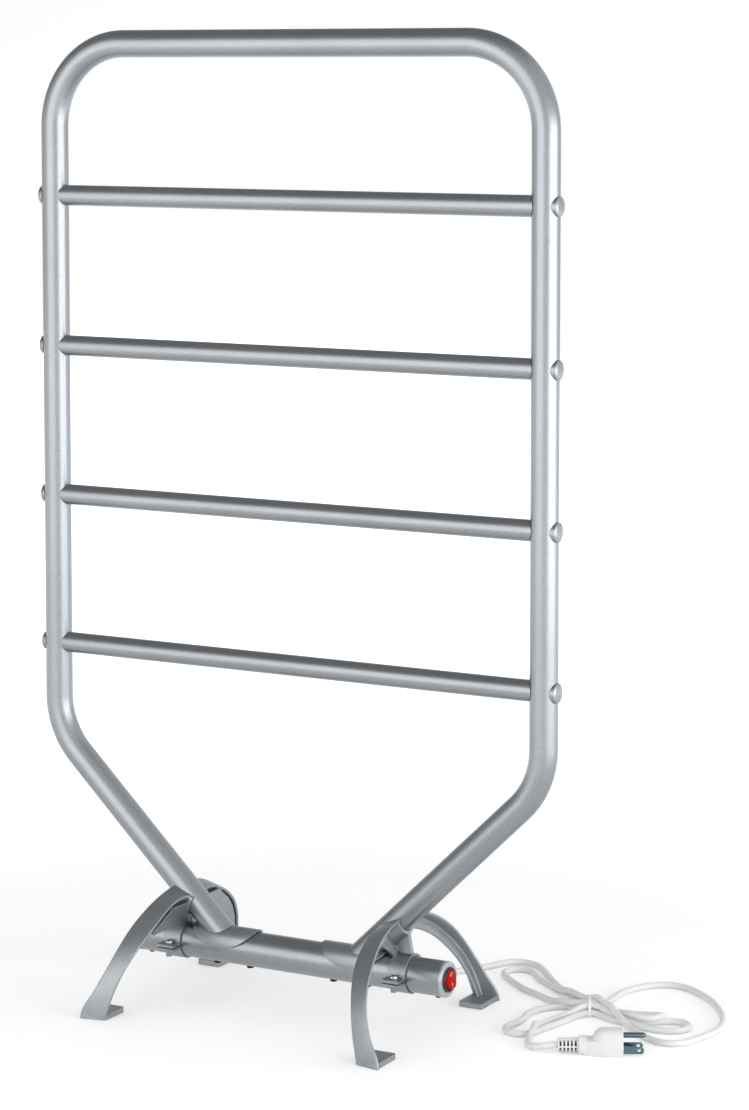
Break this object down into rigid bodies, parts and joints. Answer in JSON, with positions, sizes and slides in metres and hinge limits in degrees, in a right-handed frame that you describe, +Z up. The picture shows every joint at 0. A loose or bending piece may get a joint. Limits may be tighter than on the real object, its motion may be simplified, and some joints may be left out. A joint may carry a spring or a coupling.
{
  "type": "heated towel rack",
  "caption": "Free-standing heated towel rack: bent tube frame with crossbars, on a base tube held by two cast arch stands, with a rocker switch and a tied mains cord.",
  "frame": {"origin": "on the floor, midway between the four feet", "axes": "+Z up; crossbars along X with the switch at the +X end; the cord leaves towards +Y"},
  "size_m": [0.6527, 0.3469, 0.8898],
  "materials": {
    "satin_tube_paint": "satin metallic silver-grey paint",
    "cast_paint": "satin metallic grey paint on a casting",
    "zinc_screw": "bright zinc plate",
    "dark_screw": "black oxide",
    "cap_plastic": "satin light grey moulding",
    "black_plastic": "matt black",
    "red_plastic": "glossy translucent red",
    "brass": "plain brass",
    "silicone": "matt silicone rubber",
    "fuse_sleeve": "matt glass-fibre sleeve",
    "white_pvc": "satin white PVC",
    "tie_plastic": "satin white tie",
    "nickel_pin": "nickel plate"
  },
  "bodies": {
    "rack": {"frame_tube": "satin_tube_paint", "base_tube": "satin_tube_paint", "crossbar_1": "satin_tube_paint", "crossbar_2": "satin_tube_paint", "crossbar_3": "satin_tube_paint", "crossbar_4": "satin_tube_paint", "bar_cap_1_left": "satin_tube_paint", "bar_cap_1_right": "satin_tube_paint", "bar_cap_2_left": "satin_tube_paint", "bar_cap_2_right": "satin_tube_paint", "bar_cap_3_left": "satin_tube_paint", "bar_cap_3_right": "satin_tube_paint", "bar_cap_4_left": "satin_tube_paint", "bar_cap_4_right": "satin_tube_paint", "saddle_left": "cast_paint", "stand_left": "cast_paint", "lower_clamp_left": "cast_paint", "saddle_screw_left": "dark_screw", "toe_screw_left": "dark_screw", "end_cap_screw_left": "dark_screw", "clamp_screw_left_front": "zinc_screw", "clamp_screw_left_rear": "zinc_screw", "saddle_right": "cast_paint", "stand_right": "cast_paint", "lower_clamp_right": "cast_paint", "saddle_screw_right": "dark_screw", "toe_screw_right": "dark_screw", "end_cap_screw_right": "dark_screw", "clamp_screw_right_front": "zinc_screw", "clamp_screw_right_rear": "zinc_screw", "bar_screw_1_left": "zinc_screw", "bar_screw_1_right": "zinc_screw", "bar_screw_2_left": "zinc_screw", "bar_screw_2_right": "zinc_screw", "bar_screw_3_left": "zinc_screw", "bar_screw_3_right": "zinc_screw", "bar_screw_4_left": "zinc_screw", "bar_screw_4_right": "zinc_screw", "end_cap_left": "cap_plastic", "end_cap_switch": "cap_plastic", "switch_housing": "black_plastic", "switch_terminal_1": "brass", "switch_terminal_2": "brass", "switch_terminal_3": "brass", "heating_cable": "silicone", "thermal_fuse": "fuse_sleeve", "lead_live": "black_plastic", "lead_switched": "black_plastic", "lead_neutral": "white_pvc", "lead_fused": "white_pvc", "cord_grommet": "black_plastic", "power_cord": "white_pvc", "cord_tail": "white_pvc", "cord_hank": "white_pvc", "plug_body": "white_pvc", "cord_tie": "tie_plastic", "plug_blade_1": "nickel_pin", "plug_blade_2": "nickel_pin", "plug_ground_pin": "nickel_pin"},
    "rocker": {"rocker": "red_plastic"}
  },
  "joints": [
    {"name": "rocker_pivot", "type": "hinge", "parent": "rack", "child": "rocker", "pos_m": [0.1602, 0, 0.0505], "axis": [0, 1, 0], "range_deg": [0, 16]}
  ]
}
